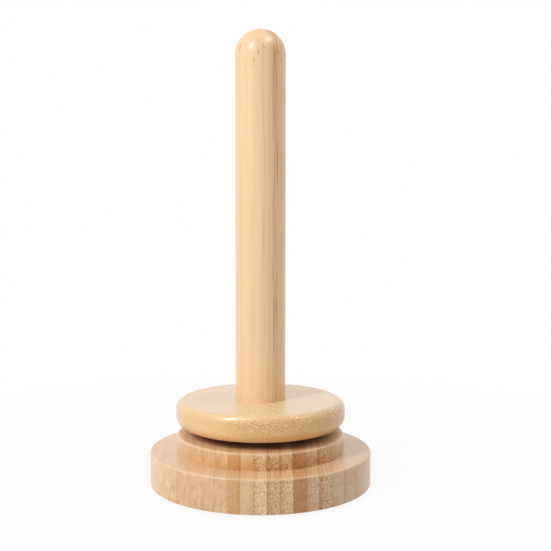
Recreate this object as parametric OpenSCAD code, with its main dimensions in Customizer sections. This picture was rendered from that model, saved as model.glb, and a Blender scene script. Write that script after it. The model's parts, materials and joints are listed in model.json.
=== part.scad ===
// Bamboo yarn holder: a spindle and platter that turn together on a ball bearing in a stepped base.
// Lengths are in millimetres. The origin is on the table under the middle of the base, and +Z runs
// up along the spindle. The front of the object faces -Y.

/* [Base block] */
// Diameter of the lower tier
base_d = 100; // [92:1:140]
// Height of the lower tier
lower_tier_h = 15; // [10:0.5:25]
// Diameter of the upper tier
upper_tier_d = 76; // [50:1:90]
// Height of the upper tier above the ledge
upper_tier_h = 7.5; // [4:0.5:15]
// Rounding of the ledge's outer edge
ledge_round = 0.8; // [0.2:0.1:2]
// Rounding of the bottom edge
bottom_round = 0.4; // [0.2:0.1:2]
// Rounding of the rim round the top
rim_round = 1.2; // [0.2:0.1:2.5]
// Width of the shoulder in the base that carries the bearing's outer ring
bearing_shoulder = 2; // [1:0.1:2.5]
// Chamfer round the mouth of the bolt's well
well_chamfer = 0.6; // [0.2:0.1:1.5]

/* [Platter] */
// Diameter of the platter
platter_d = 76.5; // [50:0.5:120]
// Thickness of the platter
platter_t = 12; // [10:0.5:20]
// Rounding of the platter's upper edge
platter_top_round = 4; // [1:0.5:5]
// Rounding of the platter's lower edge
platter_bottom_round = 5; // [1:0.5:6]
// Running gap between the base and the platter
running_gap = 3.5; // [1.5:0.1:8]

/* [Spindle] */
// Diameter of the spindle
spindle_d = 22.5; // [20:0.5:30]
// Height of the spindle above the platter
spindle_reach = 165; // [100:1:250]
// Length of the tenon that is let into the platter
tenon_l = 6; // [3:0.5:8]
// Width and depth of the sloping shoulder above the tenon
tenon_shoulder = 2; // [1:0.25:2.5]

/* [Ball bearing] */
// Bore of the inner ring
bearing_bore = 8; // [7:0.5:9]
// Outside diameter of the outer ring
bearing_od = 22; // [20:0.5:26]
// Width of both rings
bearing_w = 7; // [7:0.5:10]
// Diameter of a ball
ball_d = 3.97; // [3:0.01:4.2]
// Number of balls
ball_count = 7; // [5:1:7]
// Radius of a race groove for each millimetre of ball diameter
race_conformity = 0.52; // [0.51:0.005:0.54]
// Depth of the race groove below the ring's shoulder
race_depth = 0.55; // [0.3:0.05:0.7]
// Chamfer on the corners of the rings
ring_chamfer = 0.3; // [0.1:0.05:0.4]

/* [Bearing shields and cage] */
// Thickness of a shield
shield_t = 0.3; // [0.2:0.05:0.4]
// Depth of a shield below the ring's face
shield_inset = 0.4; // [0.2:0.05:0.5]
// Width of the seat that holds a shield in the outer ring
shield_seat = 0.7; // [0.4:0.05:0.8]
// Depth of the step pressed into a shield
shield_step = 0.15; // [0.05:0.05:0.2]
// Gap between a shield and the inner ring
shield_gap = 0.2; // [0.1:0.05:0.3]
// Thickness of the cage's sheet
cage_t = 0.35; // [0.2:0.05:0.35]
// Width of the cage's band
cage_w = 1.6; // [1.2:0.1:1.7]
// Diameter of a cage rivet
rivet_d = 0.6; // [0.4:0.05:0.7]
// Diameter of a rivet's head
rivet_head_d = 1.1; // [0.9:0.05:1.2]
// Height of a rivet's head
rivet_head_h = 0.2; // [0.1:0.05:0.3]

/* [Pivot bolt] */
// Length of the bolt under its head
bolt_length = 35; // [26:1:60]
// Width across the flats of the bolt's head
bolt_head_af = 13; // [12:0.5:14]
// Height of the bolt's head
bolt_head_h = 5.3; // [4:0.1:6]
// Width of the chamfer inside the flats of the bolt's head
bolt_head_chamfer = 0.4; // [0.2:0.1:1]
// Chamfer at the bolt's tip
bolt_tip_chamfer = 1; // [0.3:0.1:1.5]
// Outside diameter of the washer and of the spacer
washer_od = 11.5; // [10.5:0.1:12]
// Thickness of the washer
washer_t = 1; // [0.5:0.1:2]

/* [Threaded insert] */
// Outside diameter of the insert
insert_d = 12; // [11:0.5:14]
// Length of the insert
insert_l = 18; // [12:1:30]
// Number of barbs along the insert
barb_count = 6; // [3:1:8]
// Depth of the barbs
barb_depth = 0.6; // [0.2:0.1:0.9]
// Room in the spindle above the insert or the bolt
insert_relief = 2; // [1:0.5:5]

/* [Foot pads] */
// Number of pads under the base
pad_count = 4; // [3:1:6]
// Diameter of a pad
pad_d = 14; // [8:1:20]
// Thickness of a pad
pad_t = 1; // [0.8:0.1:3]
// Distance from the base's flat edge to a pad
pad_inset = 5; // [2:0.5:10]
// Chamfer round a pad's lower edge
pad_chamfer = 0.3; // [0.1:0.05:0.4]

/* [Fits] */
// Gap round pieces that are pressed or glued in place
press_gap = 0.02; // [0.01:0.01:0.05]
// Gap between a ball and each race
race_play = 0.02; // [0.01:0.01:0.05]
// Gap between a ball and its cage pocket
pocket_play = 0.05; // [0.03:0.01:0.08]
// Gap between the bolt and the holes that it passes through
bolt_play = 0.2; // [0.1:0.05:0.4]

/* [Hidden] */
$fn = 96;

// Heights of the stack, from the table up
base_z = pad_t;
ledge_z = base_z + lower_tier_h;
base_top_z = ledge_z + upper_tier_h;
bearing_z = base_top_z - bearing_w;
bearing_mid_z = bearing_z + bearing_w / 2;
washer_z = bearing_z - washer_t;
platter_z = base_top_z + running_gap;
platter_top_z = platter_z + platter_t;
socket_z = platter_top_z - tenon_l;
spindle_top_z = platter_top_z + spindle_reach;
bolt_tip_z = washer_z + bolt_length;

// Radii of the bearing
pitch_r = (bearing_bore + bearing_od) / 4;
ball_r = ball_d / 2;
race_r = race_conformity * ball_d;
inner_race_r = pitch_r - ball_r - race_play;
outer_race_r = pitch_r + ball_r + race_play;
inner_shoulder_r = inner_race_r + race_depth;
outer_shoulder_r = outer_race_r - race_depth;
shield_seat_r = outer_shoulder_r + shield_seat;
pocket_r = ball_r + pocket_play;
ball_step = 360 / ball_count;

// Radii of the bolt, of the spindle's foot and of the holes round them
bolt_r = bearing_bore / 2 - press_gap;
bolt_hole_r = bolt_r + bolt_play;
bolt_well_r = bearing_od / 2 - bearing_shoulder;
spindle_r = spindle_d / 2;
tenon_r = spindle_r - tenon_shoulder;
spindle_bore_r = insert_d / 2 + press_gap;
spindle_bore_h = max(insert_l, bolt_tip_z - socket_z) + insert_relief;
pad_circle_r = base_d / 2 - bottom_round - pad_inset - pad_d / 2;

// Overshoot of a cut past the face that it opens
cut = 1;

BALL_NODES = [for (i = [1:ball_count]) str("bearing_ball_", i)];
PAD_NODES = [for (i = [1:pad_count]) str("foot_pad_", i)];

// Waste outside a rounded corner, whose arc is centred on the origin and lies up and to the right
module corner_waste(r) {
    difference() {
        square(r + cut);
        circle(r = r);
    }
}

// Waste of a corner at the right of a profile, on its upper or its lower edge
module upper_waste(edge_r, edge_z, r) {
    translate([edge_r - r, edge_z - r])
        corner_waste(r);
}

module lower_waste(edge_r, edge_z, r) {
    translate([edge_r - r, edge_z + r])
        mirror([0, 1])
            corner_waste(r);
}

// Flat-sided ring about the Z axis
module ring(r_in, r_out, z_low, z_high) {
    rotate_extrude()
        translate([r_in, z_low])
            square([r_out - r_in, z_high - z_low]);
}

// Solid turned from the table of radius and height points
module turned(points) {
    rotate_extrude()
        polygon(points);
}

// Round bar from one height to another
module bar(r, z_low, z_high) {
    translate([0, 0, z_low])
        cylinder(r = r, h = z_high - z_low);
}

// Copies of a shape at the places of the balls, or midway between them, about the bearing's middle
module round_the_balls(shift = 0) {
    for (i = [0:ball_count - 1])
        rotate([0, 0, (i + shift) * ball_step])
            translate([pitch_r, 0, 0])
                children();
}

// Base block, turned in one piece from laminated bamboo, with the bearing's seat and the bolt's well
module base_block() {
    base_r = base_d / 2;
    upper_r = upper_tier_d / 2;
    color("#d8ab78")
        difference() {
            rotate_extrude()
                difference() {
                    union() {
                        translate([0, base_z])
                            square([base_r, lower_tier_h]);
                        translate([0, base_z])
                            square([upper_r, lower_tier_h + upper_tier_h]);
                    }
                    lower_waste(base_r, base_z, bottom_round);
                    upper_waste(base_r, ledge_z, ledge_round);
                    upper_waste(upper_r, base_top_z, rim_round);
                }
            bar(bolt_well_r, base_z - cut, base_top_z);
            turned([
                [0, base_z - cut],
                [bolt_well_r + well_chamfer + cut, base_z - cut],
                [bolt_well_r, base_z + well_chamfer],
                [0, base_z + well_chamfer]
            ]);
            bar(bearing_od / 2 + press_gap, bearing_z, base_top_z + cut);
        }
}

// Ring turned from its outline, less the race groove round the bearing's middle
module bearing_ring(points, race_centre_r) {
    difference() {
        turned(points);
        translate([0, 0, bearing_mid_z])
            rotate_extrude()
                translate([race_centre_r, 0])
                    circle(r = race_r);
    }
}

// Outer ring, with a seat for a shield at each face
module bearing_outer_ring() {
    ring_r = bearing_od / 2;
    seat_depth = shield_inset + shield_t;
    top_z = base_top_z;
    outline = [
        [shield_seat_r, bearing_z],
        [ring_r - ring_chamfer, bearing_z],
        [ring_r, bearing_z + ring_chamfer],
        [ring_r, top_z - ring_chamfer],
        [ring_r - ring_chamfer, top_z],
        [shield_seat_r, top_z],
        [shield_seat_r, top_z - seat_depth],
        [outer_shoulder_r, top_z - seat_depth],
        [outer_shoulder_r, bearing_z + seat_depth],
        [shield_seat_r, bearing_z + seat_depth]
    ];
    color("#c8cacc")
        bearing_ring(outline, outer_race_r - race_r);
}

// Inner ring, which turns with the bolt
module bearing_inner_ring() {
    bore_r = bearing_bore / 2;
    top_z = base_top_z;
    outline = [
        [bore_r + ring_chamfer, bearing_z],
        [inner_shoulder_r, bearing_z],
        [inner_shoulder_r, top_z],
        [bore_r + ring_chamfer, top_z],
        [bore_r, top_z - ring_chamfer],
        [bore_r, bearing_z + ring_chamfer]
    ];
    color("#d2d4d6")
        bearing_ring(outline, inner_race_r + race_r);
}

// Pressed shield that closes one face of the bearing. Its step goes down towards the balls.
module bearing_shield() {
    seat_r = shield_seat_r - press_gap;
    eye_r = inner_shoulder_r + shield_gap;
    step_r = outer_shoulder_r - shield_step;
    seat_z = bearing_w / 2 - shield_inset - shield_t;
    outline = [
        [eye_r, seat_z - shield_step],
        [step_r - shield_step, seat_z - shield_step],
        [step_r, seat_z],
        [seat_r, seat_z],
        [seat_r, seat_z + shield_t],
        [step_r, seat_z + shield_t],
        [step_r - shield_step, seat_z + shield_t - shield_step],
        [eye_r, seat_z + shield_t - shield_step]
    ];
    color("#b9bcc0")
        turned(outline);
}

module bearing_upper_shield() {
    translate([0, 0, bearing_mid_z])
        bearing_shield();
}

module bearing_lower_shield() {
    translate([0, 0, bearing_mid_z])
        mirror([0, 0, 1])
            bearing_shield();
}

// One ball, numbered from 1
module bearing_ball(number) {
    color("#e4e6e8")
        rotate([0, 0, (number - 1) * ball_step])
            translate([pitch_r, 0, bearing_mid_z])
                sphere(r = ball_r);
}

// Spheres at the places of the balls, turned so that their poles lie outside the cage's band
module pocket_spheres(r) {
    round_the_balls()
        rotate([0, 90, 0])
            sphere(r = r);
}

// Half of the ribbon cage, above the bearing's middle: a flat band that is domed over each ball
module cage_half() {
    band_in_r = pitch_r - cage_w / 2;
    band_out_r = pitch_r + cage_w / 2;
    dome_r = pocket_r + cage_t;
    color("#b8aa86")
        difference() {
            intersection() {
                union() {
                    bar(band_out_r + cut, -cut, cage_t);
                    pocket_spheres(dome_r);
                }
                ring(band_in_r, band_out_r, 0, 2 * dome_r);
            }
            pocket_spheres(pocket_r);
            round_the_balls(0.5)
                bar(rivet_d / 2 + press_gap, -cut, cage_t + cut);
        }
}

module cage_upper_half() {
    translate([0, 0, bearing_mid_z])
        cage_half();
}

module cage_lower_half() {
    translate([0, 0, bearing_mid_z])
        mirror([0, 0, 1])
            cage_half();
}

// Rivets that hold the two halves of the cage together, one between each pair of balls
module cage_rivets() {
    head_z = cage_t + rivet_head_h;
    outline = [
        [0, -head_z],
        [rivet_head_d / 2 - rivet_head_h, -head_z],
        [rivet_head_d / 2, -cage_t],
        [rivet_d / 2, -cage_t],
        [rivet_d / 2, cage_t],
        [rivet_head_d / 2, cage_t],
        [rivet_head_d / 2 - rivet_head_h, head_z],
        [0, head_z]
    ];
    color("#a89a74")
        translate([0, 0, bearing_mid_z])
            round_the_balls(0.5)
                turned(outline);
}

// Thin washer between the bolt's head and the inner ring
module bolt_washer() {
    color("#c2c5c8")
        ring(bolt_hole_r, washer_od / 2, washer_z, bearing_z);
}

// Bush that lifts the platter off the inner ring and keeps the running gap
module spacer_bush() {
    color("#c2c5c8")
        ring(bolt_hole_r, washer_od / 2, base_top_z, platter_z);
}

// Hexagon bolt that ties the inner ring, the platter and the spindle together
module pivot_bolt() {
    head_z = washer_z - bolt_head_h;
    corner_r = bolt_head_af / 2 / cos(30);
    face_r = bolt_head_af / 2 - bolt_head_chamfer;
    cone_r = corner_r + cut;
    color("#9fa3a8")
        union() {
            intersection() {
                translate([0, 0, head_z])
                    cylinder(r = corner_r, h = bolt_head_h, $fn = 6);
                turned([
                    [0, head_z],
                    [face_r, head_z],
                    [cone_r, head_z + (cone_r - face_r) * tan(30)],
                    [cone_r, washer_z + cut],
                    [0, washer_z + cut]
                ]);
            }
            turned([
                [0, washer_z],
                [bolt_r, washer_z],
                [bolt_r, bolt_tip_z - bolt_tip_chamfer],
                [bolt_r - bolt_tip_chamfer, bolt_tip_z],
                [0, bolt_tip_z]
            ]);
        }
}

// Platter, with a socket for the spindle and a hole for the bolt
module platter() {
    platter_r = platter_d / 2;
    color("#ecc58f")
        difference() {
            rotate_extrude()
                difference() {
                    translate([0, platter_z])
                        square([platter_r, platter_t]);
                    lower_waste(platter_r, platter_z, platter_bottom_round);
                    upper_waste(platter_r, platter_top_z, platter_top_round);
                }
            bar(bolt_hole_r, platter_z - cut, platter_top_z);
            turned([
                [0, socket_z],
                [tenon_r + press_gap, socket_z],
                [tenon_r + press_gap, platter_top_z - tenon_shoulder],
                [spindle_r + press_gap, platter_top_z],
                [spindle_r + press_gap, platter_top_z + cut],
                [0, platter_top_z + cut]
            ]);
        }
}

// Spindle with a domed top. Its foot is a tenon under a sloping shoulder, bored for the insert.
module spindle() {
    dome_z = spindle_top_z - spindle_r;
    color("#eac48f")
        difference() {
            union() {
                turned([
                    [0, socket_z],
                    [tenon_r, socket_z],
                    [tenon_r, platter_top_z - tenon_shoulder],
                    [spindle_r, platter_top_z],
                    [spindle_r, dome_z],
                    [0, dome_z]
                ]);
                translate([0, 0, dome_z])
                    sphere(r = spindle_r);
            }
            bar(spindle_bore_r, socket_z - cut, socket_z + spindle_bore_h);
        }
}

// Barbed insert in the spindle's foot, which takes the bolt
module threaded_insert() {
    insert_r = insert_d / 2;
    barb_h = insert_l / barb_count;
    bore_r = bolt_r + press_gap;
    barbs = [for (i = [0:barb_count - 1], side = [0, 1])
        side == 0
            ? [insert_r, socket_z + i * barb_h]
            : [insert_r - barb_depth, socket_z + (i + 1) * barb_h]];
    color("#c9a24e")
        turned(concat([[bore_r, socket_z]], barbs, [[bore_r, socket_z + insert_l]]));
}

// One of the pads under the base, numbered from 1
module foot_pad(number) {
    pad_r = pad_d / 2;
    color("#2e2c2b")
        rotate([0, 0, (number - 0.5) * 360 / pad_count])
            translate([pad_circle_r, 0, 0])
                turned([
                    [0, 0],
                    [pad_r - pad_chamfer, 0],
                    [pad_r, pad_chamfer],
                    [pad_r, pad_t],
                    [0, pad_t]
                ]);
}

base_block();
bearing_outer_ring();
bearing_lower_shield();
bearing_upper_shield();
for (i = [1:pad_count])
    foot_pad(i);
cage_lower_half();
cage_upper_half();
cage_rivets();
for (i = [1:ball_count])
    bearing_ball(i);
bearing_inner_ring();
bolt_washer();
spacer_bush();
pivot_bolt();
platter();
spindle();
threaded_insert();
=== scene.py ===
# %% [markdown]
# # A bamboo yarn holder
#
# The real object is three pieces of turned bamboo and some hidden hardware. A heavy stepped base stands
# on four thin pads. A rounded platter floats a few millimetres above it on a ball bearing, and a domed
# spindle stands in the platter. Yarn is dropped over the spindle and pulled, and the platter and the
# spindle spin together.
#
# The frame that is loaded first holds every piece at its true size and place, in metres. This script
# gives the pieces their looks: the three wooden ones and the pads are modelled again with finer meshes,
# and the hardware keeps its own shape and gets better finishes.

# %% Load the frame
import json
import math

import bmesh
import bpy
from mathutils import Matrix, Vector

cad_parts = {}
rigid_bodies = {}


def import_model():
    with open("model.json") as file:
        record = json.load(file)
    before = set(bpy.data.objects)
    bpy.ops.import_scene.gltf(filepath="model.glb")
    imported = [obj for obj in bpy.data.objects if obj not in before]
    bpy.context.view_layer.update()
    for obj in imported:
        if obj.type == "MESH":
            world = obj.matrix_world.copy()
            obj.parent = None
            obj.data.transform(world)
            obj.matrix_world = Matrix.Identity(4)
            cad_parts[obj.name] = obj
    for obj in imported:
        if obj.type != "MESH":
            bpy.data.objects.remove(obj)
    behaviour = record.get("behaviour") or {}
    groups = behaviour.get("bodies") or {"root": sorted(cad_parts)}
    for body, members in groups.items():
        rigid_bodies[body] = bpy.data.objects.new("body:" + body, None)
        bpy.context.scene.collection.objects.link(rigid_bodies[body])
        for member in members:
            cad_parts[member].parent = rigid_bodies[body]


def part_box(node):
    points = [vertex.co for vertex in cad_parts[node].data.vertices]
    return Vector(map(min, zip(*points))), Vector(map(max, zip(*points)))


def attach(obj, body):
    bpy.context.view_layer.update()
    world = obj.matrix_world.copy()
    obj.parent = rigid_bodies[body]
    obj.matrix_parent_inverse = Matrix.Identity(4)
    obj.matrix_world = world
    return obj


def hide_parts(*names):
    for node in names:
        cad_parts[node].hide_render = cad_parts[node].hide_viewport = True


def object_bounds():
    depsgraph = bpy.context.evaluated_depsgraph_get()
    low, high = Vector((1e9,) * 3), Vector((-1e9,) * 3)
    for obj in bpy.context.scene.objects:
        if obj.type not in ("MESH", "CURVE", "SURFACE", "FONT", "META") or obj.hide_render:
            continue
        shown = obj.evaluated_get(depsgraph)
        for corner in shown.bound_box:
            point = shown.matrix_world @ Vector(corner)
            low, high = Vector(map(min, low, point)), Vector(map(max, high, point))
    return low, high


MM = 0.001

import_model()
cad_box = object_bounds()
print("frame box:", [tuple(round(v, 4) for v in corner) for corner in cad_box])

# %% [markdown]
# ## Camera
#
# The picture was taken from in front, a little above the platter. Four things fix a camera: how far it
# is, how high it looks, how steeply it looks down and how long its lens is. The ellipses of the two
# tiers give the slope, and the height and width of the object in the frame give the rest. The object
# stands slightly left of the middle, which is a sideways shift of the frame and not a turn of the
# camera.

# %% Camera
FRAME_PIXELS = 551
LENS_PIXELS = 1000.0
CAMERA_DISTANCE = 0.450
CAMERA_SLOPE = math.radians(5.1)
AIM_HEIGHT = 0.0950
AXIS_LEFT_PIXELS = 15.0
SENSOR = 36.0

camera_data = bpy.data.cameras.new("camera")
camera_data.sensor_width = SENSOR
camera_data.lens = LENS_PIXELS * SENSOR / FRAME_PIXELS
camera_data.shift_x = AXIS_LEFT_PIXELS / FRAME_PIXELS
camera = bpy.data.objects.new("camera", camera_data)
bpy.context.collection.objects.link(camera)
camera.location = (0, -CAMERA_DISTANCE * math.cos(CAMERA_SLOPE),
                   AIM_HEIGHT + CAMERA_DISTANCE * math.sin(CAMERA_SLOPE))
camera.rotation_euler = (math.pi / 2 - CAMERA_SLOPE, 0, 0)
bpy.context.scene.camera = camera
print("lens", round(camera_data.lens, 2), "mm")

# %% [markdown]
# ## Helpers for nodes
#
# A finish is a small network of nodes. These helpers add one node each and plug their arguments in: a
# socket becomes a link, and a plain number or colour is set on the socket itself.

# %% Sums and blends
def plug(tree, value, socket):
    if isinstance(value, bpy.types.NodeSocket):
        tree.links.new(value, socket)
    else:
        socket.default_value = value


def add_node(tree, kind, **settings):
    node = tree.nodes.new(kind)
    for key, value in settings.items():
        setattr(node, key, value)
    return node


def sums(tree, operation, a, b=0.0, c=0.0):
    node = add_node(tree, "ShaderNodeMath", operation=operation)
    for value, socket in zip((a, b, c), node.inputs):
        plug(tree, value, socket)
    return node.outputs[0]


def product(tree, *values):
    """All the values multiplied with each other."""
    total = values[0]
    for value in values[1:]:
        total = sums(tree, "MULTIPLY", total, value)
    return total


def vector_sums(tree, operation, a, b):
    node = add_node(tree, "ShaderNodeVectorMath", operation=operation)
    plug(tree, a, node.inputs[0])
    plug(tree, b, node.inputs[1])
    return node.outputs[0]


def blend(tree, factor, a, b, mode="MIX"):
    node = add_node(tree, "ShaderNodeMix", data_type="RGBA", blend_type=mode)
    plug(tree, factor, node.inputs[0])
    plug(tree, a, node.inputs[6])
    plug(tree, b, node.inputs[7])
    return node.outputs[2]


def remap(tree, value, old_low, old_high, new_low=0.0, new_high=1.0):
    """Moves a value from one range to another, with soft ends."""
    node = add_node(tree, "ShaderNodeMapRange", interpolation_type="SMOOTHSTEP")
    for item, socket in zip((value, old_low, old_high, new_low, new_high), node.inputs):
        plug(tree, item, socket)
    return node.outputs[0]


print("sums and blends ready")

# %% [markdown]
# Every piece lies at the origin with its place in its mesh. So its Object coordinates are its place in
# the whole holder, in metres, and a pattern that reads them stays on the wood when the piece turns. A
# pattern in wood is easier to think of in millimetres, so a Mapping node scales the place up, and turns
# it to the direction of the fibres.

# %% Places and textures
NO_TURN = (0, 0, 0)


def object_place(tree):
    return add_node(tree, "ShaderNodeTexCoord").outputs["Object"]


def turned_input(tree, output, turn, scale):
    """Object coordinates or the facing, turned so that X crosses the strips and Z runs along the fibres."""
    mapping = add_node(tree, "ShaderNodeMapping", vector_type="VECTOR")
    mapping.inputs["Scale"].default_value = (scale, scale, scale)
    mapping.inputs["Rotation"].default_value = turn
    tree.links.new(add_node(tree, "ShaderNodeTexCoord").outputs[output], mapping.inputs["Vector"])
    return mapping.outputs[0]


def place_mm(tree, turn=NO_TURN):
    return turned_input(tree, "Object", turn, 1 / MM)


def axes(tree, vector):
    """The X, Y and Z of a vector."""
    node = add_node(tree, "ShaderNodeSeparateXYZ")
    plug(tree, vector, node.inputs[0])
    return node.outputs


def distance(tree, a, b):
    """The length of a slope that goes a sideways and b up."""
    return sums(tree, "SQRT", sums(tree, "ADD", sums(tree, "POWER", a, 2.0), sums(tree, "POWER", b, 2.0)))


def stretched(tree, vector, cell):
    """The position divided by a length on each axis, so that a texture has cells of that size."""
    return vector_sums(tree, "DIVIDE", vector, cell)


def noise(tree, vector, scale=1.0, detail=2.0, roughness=0.5, output=0):
    node = add_node(tree, "ShaderNodeTexNoise")
    plug(tree, vector, node.inputs["Vector"])
    node.inputs["Scale"].default_value = scale
    node.inputs["Detail"].default_value = detail
    node.inputs["Roughness"].default_value = roughness
    return node.outputs[output]


def spots(tree, vector, scatter=1.0, dimensions="3D"):
    """Scattered points: the distance to the nearest one, and a random colour for each."""
    node = add_node(tree, "ShaderNodeTexVoronoi", voronoi_dimensions=dimensions, feature="F1")
    plug(tree, vector, node.inputs["Vector"])
    node.inputs["Scale"].default_value = 1.0
    plug(tree, scatter, node.inputs["Randomness"])
    return node.outputs


print("places and textures ready")

# %% [markdown]
# An effect that several finishes share is a node group, built once and placed in each of them with its
# own values. Colours are easiest to choose as a screen shows them, so one helper turns them into the
# linear values of a shader.

# %% Groups, materials and colours
def new_group(name, inputs, outputs):
    group = bpy.data.node_groups.new(name, "ShaderNodeTree")
    for kind, title in inputs:
        group.interface.new_socket(name=title, in_out="INPUT", socket_type="NodeSocket" + kind)
    for kind, title in outputs:
        group.interface.new_socket(name=title, in_out="OUTPUT", socket_type="NodeSocket" + kind)
    given = group.nodes.new("NodeGroupInput").outputs
    made = group.nodes.new("NodeGroupOutput").inputs
    return group, given, made


def use_group(tree, group, **values):
    node = add_node(tree, "ShaderNodeGroup", node_tree=group)
    for title, value in values.items():
        plug(tree, value, node.inputs[title.replace("_", " ")])
    return node.outputs


def new_material(name):
    material = bpy.data.materials.new(name)
    material.use_nodes = True
    tree = material.node_tree
    return material, tree, tree.nodes["Principled BSDF"]


def add_bump(tree, shader, height, strength, depth):
    bump = add_node(tree, "ShaderNodeBump")
    bump.inputs["Strength"].default_value = strength
    bump.inputs["Distance"].default_value = depth
    plug(tree, height, bump.inputs["Height"])
    plug(tree, bump.outputs[0], shader.inputs["Normal"])


def linear(red, green, blue):
    """A colour as seen on a screen, from 0 to 255, as the linear values that shaders use."""
    def one(v):
        v /= 255
        return v / 12.92 if v <= 0.04045 else ((v + 0.055) / 1.055) ** 2.4
    return (one(red), one(green), one(blue), 1.0)


print("middle grey is", [round(v, 3) for v in linear(128, 128, 128)])

# %% [markdown]
# ## Floor
#
# The picture is a catalogue shot on white. The floor is one large pale plane. For rays that come
# straight from the camera, or from a mirror-like surface, most of it glows plain white, and the rest is
# an ordinary pale surface that takes the object's shadow. Away from the object it is all white, so that
# no horizon shows. More light on a plain floor would whiten it too, but it would bleach the wood as
# well.

# %% Floor
FLOOR_SIZE = 8.0
FLOOR_GREY = (0.75, 0.75, 0.75, 1)
FLOOR_ROUGHNESS = 0.9
GLOW_NEAR, GLOW_FAR = 0.90, 1.0
GLOW_START, GLOW_END = 0.06, 0.30


def seen_directly(tree):
    """1 for camera, glossy and transmission rays, and 0 for the rays that carry light between surfaces."""
    path = add_node(tree, "ShaderNodeLightPath").outputs
    either = sums(tree, "MAXIMUM", path["Is Camera Ray"], path["Is Glossy Ray"])
    return sums(tree, "MAXIMUM", either, path["Is Transmission Ray"])


bpy.ops.object.select_all(action="DESELECT")
bpy.ops.mesh.primitive_plane_add(size=FLOOR_SIZE, location=(0, 0, cad_box[0].z))
floor = bpy.context.object
floor.name = "floor"
floor_material, tree, shader = new_material("floor_white")
shader.inputs["Base Color"].default_value = FLOOR_GREY
shader.inputs["Roughness"].default_value = FLOOR_ROUGHNESS
shader.inputs["Specular IOR Level"].default_value = 0.0
glow = add_node(tree, "ShaderNodeEmission")
mix = add_node(tree, "ShaderNodeMixShader")
far = add_node(tree, "ShaderNodeVectorMath", operation="LENGTH")
plug(tree, object_place(tree), far.inputs[0])
share = remap(tree, far.outputs["Value"], GLOW_START, GLOW_END, GLOW_NEAR, GLOW_FAR)
plug(tree, product(tree, seen_directly(tree), share), mix.inputs[0])
plug(tree, shader.outputs[0], mix.inputs[1])
plug(tree, glow.outputs[0], mix.inputs[2])
plug(tree, mix.outputs[0], tree.nodes["Material Output"].inputs["Surface"])
floor.data.materials.append(floor_material)
print("floor at", round(cad_box[0].z, 4))

# %% [markdown]
# ## Light
#
# The world is white to the same rays as the floor. To all others it is a soft grey light, as in a light
# tent: stronger from above than from the sides, and on the left than on the right. Standard view keeps
# colours as they are written. Lamps alone could do it, but their shadows would be hard.

# %% World
SIDE_LIGHT, SIDE_TILT = 0.43, 0.20
TOP_LIGHT = 0.70
TOP_FROM = 0.9

world = bpy.data.worlds.new("white_studio")
bpy.context.scene.world = world
world.use_nodes = True
tree = world.node_tree
background = tree.nodes["Background"]
background.inputs["Color"].default_value = (1, 1, 1, 1)
direction = axes(tree, add_node(tree, "ShaderNodeTexCoord").outputs["Generated"])
side = sums(tree, "MULTIPLY_ADD", direction["X"], -SIDE_TILT, SIDE_LIGHT)
roof = remap(tree, direction["Z"], 0.0, TOP_FROM, side, TOP_LIGHT)
plug(tree, sums(tree, "MAXIMUM", roof, seen_directly(tree)), background.inputs["Strength"])
bpy.context.scene.view_settings.view_transform = "Standard"
print("light from the left", SIDE_LIGHT + SIDE_TILT, "and from above", TOP_LIGHT)

# %% [markdown]
# A narrow soft box stands at the front left, where the wood is brightest. A weak lamp hangs above on the
# right and lifts that side a little. An area lamp shines along its own -Z, so its turn follows from its
# place and its aim.

# %% Lamps
AIM = (0, 0, 0.08)


def add_lamp(name, place, width, tall, power):
    """An area lamp that shines at the middle of the holder."""
    data = bpy.data.lights.new(name, "AREA")
    data.shape = "RECTANGLE"
    data.size = width
    data.size_y = tall
    data.energy = power
    lamp = bpy.data.objects.new(name, data)
    bpy.context.collection.objects.link(lamp)
    lamp.location = place
    x, y, z = (a - p for a, p in zip(AIM, place))
    lamp.rotation_euler = (math.atan2(math.hypot(x, y), -z), 0, math.atan2(-x, y))
    return lamp


SOFT_BOX = {"place": (-0.91, -0.89, 1.0), "width": 0.22, "tall": 0.60, "power": 10.8}
key_lamp = add_lamp("key_lamp", **SOFT_BOX)
top_lamp = add_lamp("top_lamp", place=(0.65, 0.0, 1.15), width=0.45, tall=0.45, power=1.8)
print("lamps:", key_lamp.name, top_lamp.name)

# %% [markdown]
# ## Turned wood
#
# All three wooden pieces are round, so each can be drawn out of a flat disc or a ball, ring by ring, as
# a wood turner would see it: a step is an inset and an extrusion, and a rounded edge is a bevel. The
# helpers start a piece, pull and narrow what is selected, and pick what the next operator acts on, by
# its place. A drawn profile could be spun round the axis instead. Here each cut is one operator, and a
# ring is easy to find again by its radius and height.

# %% Starting and pulling
SEGMENTS = 192


def start_disc(name, radius, place, segments=SEGMENTS):
    bpy.ops.object.select_all(action="DESELECT")
    bpy.ops.mesh.primitive_circle_add(vertices=segments, radius=radius, fill_type="NGON", location=place)
    piece = bpy.context.object
    piece.name = piece.data.name = name
    bpy.ops.object.transform_apply(location=True, rotation=True, scale=True)
    bpy.ops.object.mode_set(mode="EDIT")
    bpy.ops.mesh.select_mode(type="FACE")
    bpy.ops.mesh.select_all(action="SELECT")
    return piece


def pull(height):
    """Extrudes what is selected straight up, or down where the height is negative."""
    bpy.ops.mesh.extrude_region_move(TRANSFORM_OT_translate={"value": (0, 0, height)})


def narrow(radius, new_radius):
    """Insets the selected disc from one radius to a smaller one."""
    bpy.ops.mesh.inset(thickness=radius - new_radius)


print("a disc has", SEGMENTS, "sides")

# %% [markdown]
# A face or an edge is found by its height and its distance from the axis, within a hair. When the shape
# is done, double points are merged, and all edges but the sharp ones are shaded smooth.

# %% Selecting, rounding and finishing
NEAR = 0.02 * MM
MERGE = 0.001 * MM
SHARP = math.radians(35)


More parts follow.
